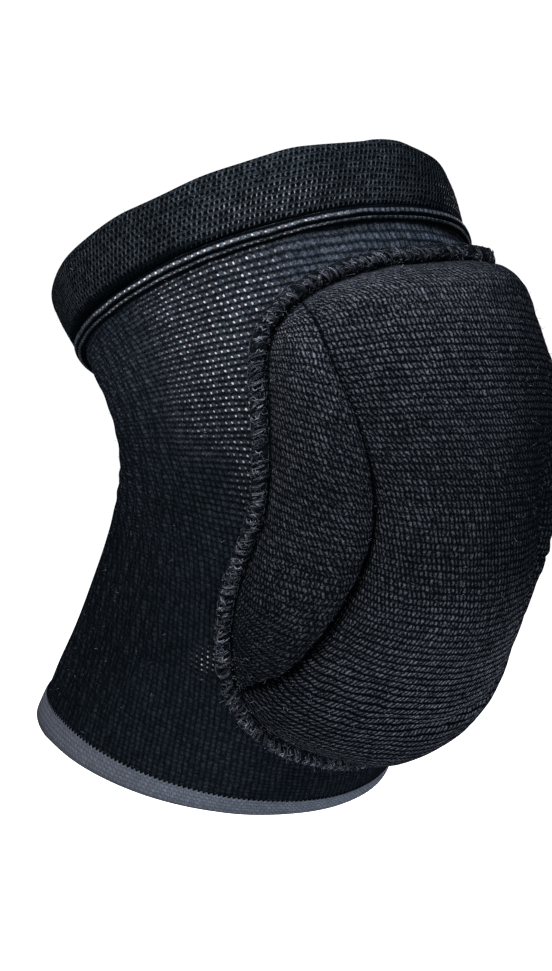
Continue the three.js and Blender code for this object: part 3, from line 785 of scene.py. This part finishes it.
slant = np.where(
    coverLobe == 0,
    0.63 + 0.3 * hump(up, 0.56, 0.7, 0.04) - 0.5 * ease(up, 0.6, 0.52) - 1.1 * ease(up, 0.5, 0.42),
    0.3 + 0.3 * ease(up, 0.66, 0.56) - 1.0 * ease(up, 0.54, 0.44),
)
onWing = coverLobe != 0
rowDepth = 0.85 - 0.15 * hump(up, 0.5, 0.66, 0.04) + 0.2 * ease(up, 0.46, 0.36) - 0.5 * ease(up, 0.72, 0.78)
rowDepth = np.where(onWing, 0.75, rowDepth)
wobble = np.where(onWing, 1.7 - 0.8 * ease(up, 0.46, 0.36) * ease(toFold, 14, 4), 1.3 - 0.8 * ease(up, 0.46, 0.34))
# Painted light and shade on the cover: lighter towards the top and on the lower front, the wings darker low down,
# painted shade on the far side, and dark painted shade lines along each fold and along the seam.
front = ease(np.abs(sideways), 40, 15)
tone = 0.45 + 0.36 * ease(up, 0.58, 0.76) + (0.62 * ease(up, 0.52, 0.4) - 0.42 * ease(up, 0.37, 0.29)) * front
tone = np.where(onWing, 0.62 + 0.53 * ease(up, 0.4, 0.54), 1) * tone
tone = tone * (1 - (0.85 * ease(up, 0.42, 0.56) - 0.2) * hump(sideways, 4, 52, 14))  # the far side is in shade
foldShadeHalfWidth = 0.12 + 0.22 * ease(up, 0.66, 0.5)  # half the width of the painted shade line along the fold, mm
tone = tone * (0.03 + 0.97 * ease(toFold, foldShadeHalfWidth, foldShadeHalfWidth + 0.6)) * (0.04 + 0.96 * ease(toEdge, 0.4, 1.5))
coverTones = {"slant": slant, "rowDepth": rowDepth, "wobble": wobble, "tone": tone}
coverPiece = addPiece(
    "pad_cover_knit",
    np.concatenate([coverOut, coverIn]).reshape(-1, 3),
    allFaces,
    knit[allCorners[..., 0], allCorners[..., 1]],
    {name: np.tile(values.ravel(), 2) for name, values in coverTones.items()},
)
dress(coverPiece, coverKnit, "pad_cover")
print("pad cover made")

# Foam lobes under the cover, each a crowned closed form
foam = {"slack": 0.7, "rows": 46, "columns": 26, "inset": 0.08}


def foamLobe(name, node, patch, mirrored, narrow):
    along = np.linspace(foam["inset"], 1 - foam["inset"], foam["rows"])
    across = np.linspace(narrow, 1 - narrow, foam["columns"])
    v, u = np.meshgrid(along, across, indexing="ij")
    places = patch(u, v) * (mirror if mirrored else 1)
    lift, toEdge, toFold = coverShape(places, padForm["centreRise"])
    lift = lift + 1.15 * np.minimum(shoulderPull(places, toEdge + 8), 0)
    thick = np.minimum(ease(toEdge, 0, 8), ease(toFold, 0, 4))
    low = padForm["knitWall"] + foam["slack"]
    room = lift - padForm["coverWall"] - 2.6 * foam["slack"] - low
    top = low + np.maximum(room * (0.35 + 0.65 * thick) - 0.9, 0.3)
    points = np.concatenate([offPlaces(places, top), offPlaces(places, low)])
    faces = shellFaces(foam["rows"], foam["columns"])[0]
    piece = addPiece(name, points.reshape(-1, 3), faces[:, ::-1] if mirrored else faces)
    dress(piece, padFoam, node)
    return piece


foamPieces = [
    foamLobe("foam_lobe_middle", "foam_centre", centrePatch, False, 0.03),
    foamLobe("foam_lobe_left", "foam_wing_left", wingPatch, True, 0.1),
    foamLobe("foam_lobe_right", "foam_wing_right", wingPatch, False, 0.1),
]
print("foam made")


# Overlocked seam round the pad
def tubes(name, paths, radii, sides, tones):
    # Threads as closed tubes: paths is threads x points x 3, radii is threads x points
    paths, radii = np.asarray(paths), np.asarray(radii)
    count, steps = paths.shape[:2]
    forward = unit(np.gradient(paths, axis=1))
    helper = np.where(np.abs(forward[..., 2:3]) < 0.8, [0, 0, 1.0], [1.0, 0, 0])
    side = unit(np.cross(forward, helper))
    over = np.cross(side, forward)
    turns = np.linspace(0, 2 * math.pi, sides, endpoint=False)[:, None]
    ring = np.cos(turns) * side[:, :, None] + np.sin(turns) * over[:, :, None]
    points = paths[:, :, None] + radii[..., None, None] * ring
    one, _ = gridFaces(steps, sides, True)
    start = np.arange(count)[:, None, None] * steps * sides
    walls = (one[None, :, ::-1] + start).reshape(-1, 4)
    firstCap = np.arange(sides)[None] + start[:, 0]
    faces = walls.tolist() + firstCap.tolist() + (firstCap[:, ::-1] + (steps - 1) * sides).tolist()
    return addPiece(name, points.reshape(-1, 3), faces, None, {"tone": np.repeat(tones, steps * sides)})


seam = {
    "steps": 420, "strands": 3, "tufts": 16,
    "gap": 0.6, "width": 5.4, "rise": 2.05, "stitch": 2.7, "thread": 0.15,  # mm
}


def seamFrame(row):  # foot, outward across the seam, and out of it, at a row of the edge
    here, ahead = edgeAt(row), edgeAt(np.asarray(row) + 0.03)
    off = standOff(here)
    foot = offPlaces(here, seat + off)
    forward = unit(offPlaces(ahead, seat + standOff(ahead)) - foot)
    out = boreOut(here[..., 0], here[..., 1])
    across = unit(np.cross(forward, out))
    # the seam stands up where the edge stands off
    tilt = (off / padForm["standOff"] * padForm["standTilt"])[..., None]
    across, out = across * np.cos(tilt) + out * np.sin(tilt), out * np.cos(tilt) - across * np.sin(tilt)
    return foot, forward, across, out


seamRows = np.linspace(0, len(edgeLoop), seam["steps"], endpoint=False)
foot, forward, across, out = seamFrame(seamRows)
ringTurns = np.linspace(0, math.pi, 11)
reach = seam["gap"] + seam["width"] / 2 * (1 - np.cos(ringTurns))
rise = seam["rise"] * np.sin(ringTurns) ** 0.75
ring = foot[:, None] + across[:, None] * reach[None, :, None] + out[:, None] * rise[None, :, None]
ring = ring + out[:, None] * (0.25 * waves(ring, 4, 41) * np.sin(ringTurns)[None, :])[..., None]
under = np.linspace(reach[-1] - 0.3, reach[0] + 0.3, 4)[None, :, None]
under = foot[:, None] + across[:, None] * under + out[:, None] * 0.02
beadPoints = np.concatenate([ring, under], 1)
beadFaces = gridFaces(seam["steps"], beadPoints.shape[1], True, True)[0]
beadPiece = addPiece("seam_edge", beadPoints.reshape(-1, 3), beadFaces[:, ::-1])
dress(beadPiece, rawEdge, "pad_seam")

# Where the pad's edge stands off, the sleeve's knit is drawn out to the seam
edgePlaces = edgeAt(seamRows)
stood = standOff(edgePlaces) / padForm["standOff"]
drawnRows = np.flatnonzero(stood > 0.02)
share = stood[drawnRows, None]
edgeOut = boreOut(edgePlaces[..., 0], edgePlaces[..., 1])
flatWay = unit(across - edgeOut * (across * edgeOut).sum(-1, keepdims=True))[drawnRows]
base = offPlaces(edgePlaces[drawnRows], seat + 0.05)
first, corner = base + flatWay * (0.1 + 2.4 * share), base + flatWay * (0.1 + 0.5 * share)
last = foot[drawnRows] + across[drawnRows] * (0.1 + 1.2 * share) - out[drawnRows] * 0.05
s = np.linspace(0, 1, 8)[None, :, None]
curve = first[:, None] * (1 - s) ** 2 + corner[:, None] * 2 * s * (1 - s) + last[:, None] * s**2
drawnPoints = np.concatenate([curve, (curve - flatWay[:, None] * 0.45)[:, ::-1]], 1)
drawnFaces, drawnCorners = gridFaces(*drawnPoints.shape[:2], True)
# its tone of 0.3 is painted shade, darker than the sleeve beside it
drawnTones = {"tone": 0.3, "ribbed": 0.2, "rowDepth": 0.6}
drawnTones = {name: np.full(drawnPoints[..., 0].size, value) for name, value in drawnTones.items()}
drawnKnit = drawnCorners * np.array([1.2, 1.3])  # mm from one point to the next, along the seam and up to it
drawnPiece = addPiece("sleeve_drawn_out", drawnPoints.reshape(-1, 3), drawnFaces, drawnKnit, drawnTones)
dress(drawnPiece, ribKnit)

runRows = np.linspace(0, len(edgeLoop), 2001)
edgeRun = runOf(onSleeve(edgeAt(runRows)))
seamLength = edgeRun[-1]
rowAt = lambda distance: np.interp(np.mod(distance, seamLength), edgeRun, runRows)


def onSeam(distance, acrossShare, height):  # a place on the seam: mm along it, share of its width, mm above the bead
    foot, _, across, out = seamFrame(rowAt(distance))
    lift = seam["rise"] * np.sin(np.clip(acrossShare, 0.02, 0.98) * math.pi) ** 0.75 + height
    reachAt = seam["gap"] + seam["width"] * np.asarray(acrossShare)
    return foot + across * reachAt[..., None] + out * lift[..., None]


def seamShade(distance):  # the far upper corner of the seam is in the pad's shade
    places = edgeAt(rowAt(distance))
    return 1 - 0.6 * hump(np.degrees(places[..., 0]), -4, 60, 18) * ease(places[..., 1], 0.6, 0.75)


stitches = int(seamLength / seam["stitch"])
passes = []
t = np.linspace(0, 1, 7)


def bundle(alongAt, acrossAt, loft, strands, spread, tone):
    # One pass of fluffed thread: its filaments meet where the needle holds them and part in between
    part = np.sin(t * math.pi) ** 0.7
    for _ in range(strands):
        offset, raised = dice.normal(0, spread), dice.uniform(-0.35, 0.45)
        wander = 0.16 * np.sin(t * dice.uniform(3, 9) + dice.uniform(0, 6))
        across, height = np.clip(acrossAt + 0.03 * dice.normal(), -0.04, 1.06), part * (loft + raised) + 0.05
        radii, pale = np.full(len(t), seam["thread"] * dice.uniform(0.7, 1.25)), dice.uniform(0.2, 1.6) ** 1.3
        along, shade = alongAt + part * (offset + wander), 0.4 * tone * pale * seamShade(alongAt[0])
        passes.append((along, across, height, radii, shade))


pitch = seamLength / stitches
for k in range(stitches):
    base = (k + dice.normal(0, 0.1)) * pitch
    lean, loft, shade = dice.normal(0, 0.16), dice.uniform(0.3, 0.8), dice.uniform(0.6, 1.3)
    bundle(base + pitch * (0.8 + lean) * t, 0.02 + 0.95 * t, loft, seam["strands"], 0.3, shade)
    bundle(base + pitch * (0.9 + lean - 0.85 * t), 0.97 - 0.93 * t, loft, seam["strands"], 0.26, shade * 1.1)
    bow = 0.12 * np.sin(t * math.pi)
    bundle(base + pitch * (1.2 * t + 0.4), 0.9 + bow, 0.25, 2, 0.12, 0.7)  # chained loops down the outside
    bundle(base + pitch * 1.05 * t, 0.06 - bow * 0.3, 0.3, 2, 0.08, 0.8)  # needle stitch beside the pad
alongs, acrosses, heights, radii, tones = (np.array(values) for values in zip(*passes))
threadPiece = tubes("overlock_threads", onSeam(alongs, acrosses, heights), radii, 4, tones)
dress(threadPiece, overlockThread)

# Each stitch is a tuft of short fibres fluffed out of its threads, lying every way, with gaps between the tufts that
# are darkened by painted shade
tuftOf = np.repeat(np.arange(stitches), seam["tufts"])
count = len(tuftOf)
acrossAt, within = dice.uniform(0.03, 0.99, count), np.clip(dice.normal(0, 0.5, count), -1, 1)
leanOf = dice.normal(0.45, 0.3, stitches)[tuftOf]
at = (tuftOf + dice.normal(0, 0.12, stitches)[tuftOf] + 0.42 * within + leanOf * (acrossAt - 0.5)) * pitch
dome = (1 - within**2) * np.sin(np.clip(acrossAt, 0, 1) * math.pi) ** 0.4 * dice.uniform(0.6, 1.25, stitches)[tuftOf]
way = np.arctan2(seam["width"], leanOf * pitch) + dice.normal(0, 0.75, count)
reachOf, bend, phase = dice.uniform(0.5, 1.1, count), dice.normal(0, 0.5, count), np.linspace(-1, 1, 5)
runs, turns = phase * np.cos(way)[:, None], phase * np.sin(way)[:, None]
curve = bend[:, None] * phase**2
alongs = at[:, None] + reachOf[:, None] * (runs - curve * np.sin(way)[:, None])
acrosses = acrossAt[:, None] + reachOf[:, None] / seam["width"] * (turns + curve * np.cos(way)[:, None])
heights = (0.9 * dome + dice.uniform(-0.3, 0.25, count))[:, None] + 0.35 * (1 - phase**2) - 0.1
# painted highlight on the top of each tuft and painted shade low in it and in the gaps, times the fibres' own random
# paleness and the painted shade of the far upper corner
tuftToneAndShade = (0.05 + 0.95 * dome**2) * dice.uniform(0.15, 1.3, count) ** 1.6 * seamShade(at)
radii = dice.uniform(0.13, 0.24, count)[:, None] * (1 - 0.45 * phase**4)
fluffed = tubes("seam_fluff", onSeam(alongs, np.clip(acrosses, -0.03, 1.06), heights), radii, 5, tuftToneAndShade)
dress(fluffed, overlockThread)

# The loose end of the overlock, at the far upper corner
foot, forward, across, out = (values[0] for values in seamFrame(np.array([topRow - 1.72])))
start = foot + across * (seam["gap"] + seam["width"] * 0.8) + out * 1.4
t = np.linspace(0, 1, 12)
tails = []
for side, size in ((-0.35, 4.6), (0.3, 3.4), (0.05, 2.6)):
    way = unit(across * 0.8 + out * 0.35 + forward * side + np.array([0.25, -0.1, 0.35]))
    curl = unit(np.cross(way, out))
    tails.append(start + way * (t * size)[:, None] + curl * (np.sin(t * 4 + side) * 0.5 * t)[:, None])
tailRadii = [thick * (1 - thin * t) for thick, thin in ((0.3, 0.75), (0.26, 0.7), (0.2, 0.7))]
tailPiece = tubes("loose_thread_end", tails, tailRadii, 5, np.ones(3))
dress(tailPiece, overlockThread)
print("seam made:", stitches, "stitches")

# Fluff: fine fibre ends that stand off the knit and the seam
fluff = {"onSeam": 900, "onCover": 900, "onSleeve": 900, "length": 1.6, "thickness": 0.045}
onSeamCount = fluff["onSeam"]
seamPlaces = dice.uniform(0, seamLength, onSeamCount), dice.uniform(0, 1, onSeamCount)
seamRoots = onSeam(*seamPlaces, np.full(onSeamCount, 0.2))
seamUps = unit(seamRoots - np.array([0, 20, 0]))
r, c = dice.integers(2, gridRows - 2, fluff["onCover"]), dice.integers(2, gridColumns - 2, fluff["onCover"])
a, u = dice.uniform(-math.pi, math.pi, fluff["onSleeve"]), dice.uniform(0.05, 1.0, fluff["onSleeve"])
clear = (np.abs(a) > 1.05) | (u > 0.9)
a, u = a[clear], u[clear]
roots = np.concatenate([seamRoots, coverOut[r, c], offBore(a, u, np.where(u > 0.89, 3.5, 1.9))])
ups = np.concatenate([seamUps, outward[r, c], boreOut(a, u)])
lengths = np.concatenate([dice.uniform(0.4, 1.3, onSeamCount), dice.uniform(0.25, 0.8, len(roots) - onSeamCount)])
lengths = fluff["length"] * lengths
way = unit(dice.normal(size=roots.shape) * 0.9 + ups)
curl = dice.normal(size=roots.shape) * 0.35
w = np.linspace(0, 1, 4)[None, :, None]
hairs = roots[:, None] + (way[:, None] * w + curl[:, None] * w**2) * lengths[:, None, None]
hairRadii = fluff["thickness"] * np.repeat(dice.uniform(0.7, 1.2, len(roots))[:, None], 4, 1)
fluffPiece = tubes("fibre_ends", hairs, hairRadii, 3, dice.uniform(0.6, 1.6, len(roots)))
dress(fluffPiece, overlockThread)
print("fibre ends made")

# Every piece hangs from one body, root
tube = [sleeveKnit, cuffPiece, weltPiece, hemPiece, drawnPiece]
for piece in [*tube, coverPiece, beadPiece, threadPiece, fluffed, tailPiece, fluffPiece, *foamPieces]:
    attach(piece, "root")


# Studio: white room, soft lights, and the camera
def paleFloor():
    finish = {"Roughness": 0.9, "IOR": 1.45, "Specular IOR Level": 0.1}
    material, tree, shader = newMaterial("whiteStudioFloor", finish)
    room = addNode(tree, "ShaderNodeTexCoord").outputs["Object"]
    grain = addNode(tree, "ShaderNodeTexNoise", {"Vector": room, "Scale": 3, "Detail": 2})
    tree.links.new(blend(tree, grain, linear("#f4f4f4"), linear("#fafafa")), shader.inputs["Base Color"])
    return material


studio = {"floorDrop": 420, "floorSize": 16000}
half = studio["floorSize"] / 2
ticks = np.linspace(-half, half, 9)
fx, fy = np.meshgrid(ticks, ticks)
floorPoints = np.stack([fx, fy, np.full(fx.shape, -float(studio["floorDrop"]))], -1)
floor = addPiece("floor", floorPoints.reshape(-1, 3), gridFaces(9, 9)[0])
floor.data.materials.append(paleFloor())


def softLight(name, place, aim, size, power, color):
    light = bpy.data.lights.new(name, "AREA")
    light.shape = "RECTANGLE"
    light.size, light.size_y = size
    light.energy = power
    light.color = linear(color)[:3]
    lamp = bpy.data.objects.new(name, light)
    bpy.context.scene.collection.objects.link(lamp)
    lamp.location = place
    lamp.rotation_euler = (Vector(aim) - Vector(place)).to_track_quat("-Z", "Y").to_euler()


softLight("key_light", (-1.15, -0.65, 1.4), (0, -0.02, 0), (0.7, 0.7), 150, "#fffaf5")
softLight("top_light", (0.1, -0.3, 1.6), (0, 0, 0), (0.8, 0.8), 110, "#f6f9ff")
softLight("front_light", (-0.45, -1.6, -0.3), (0, 0, -0.04), (0.6, 0.6), 26, "#eef4ff")

world = bpy.data.worlds.new("whiteRoom")
world.use_nodes = True
background = world.node_tree.nodes["Background"]
background.inputs["Color"].default_value = linear("#ffffff")
background.inputs["Strength"].default_value = 1.06
scene = bpy.context.scene
scene.world = world
scene.view_settings.view_transform = "Standard"
scene.view_settings.look = "None"

camera = {
    "azimuth": math.radians(-43), "elevation": math.radians(3.5), "distance": 0.75,
    "aim": Vector((0, 0.012, -0.0125)), "lens": 83.42,
}
turnX, turnY, away = math.cos(camera["azimuth"]), math.sin(camera["azimuth"]), math.cos(camera["elevation"])
back = Vector((turnY * away, -turnX * away, math.sin(camera["elevation"])))
right = Vector((turnX, turnY, 0))
upward = back.cross(right)
lens = bpy.data.cameras.new("studio_camera")
lens.lens, lens.sensor_width, lens.sensor_fit = camera["lens"], 36, "AUTO"
lens.clip_start, lens.clip_end = 0.01, 40
view = bpy.data.objects.new("studio_camera", lens)
scene.collection.objects.link(view)
turned = Matrix((right, upward, back)).transposed().to_4x4()
view.matrix_world = Matrix.Translation(camera["aim"] + back * camera["distance"]) @ turned
scene.camera = view
print("studio made")

bpy.context.view_layer.update()
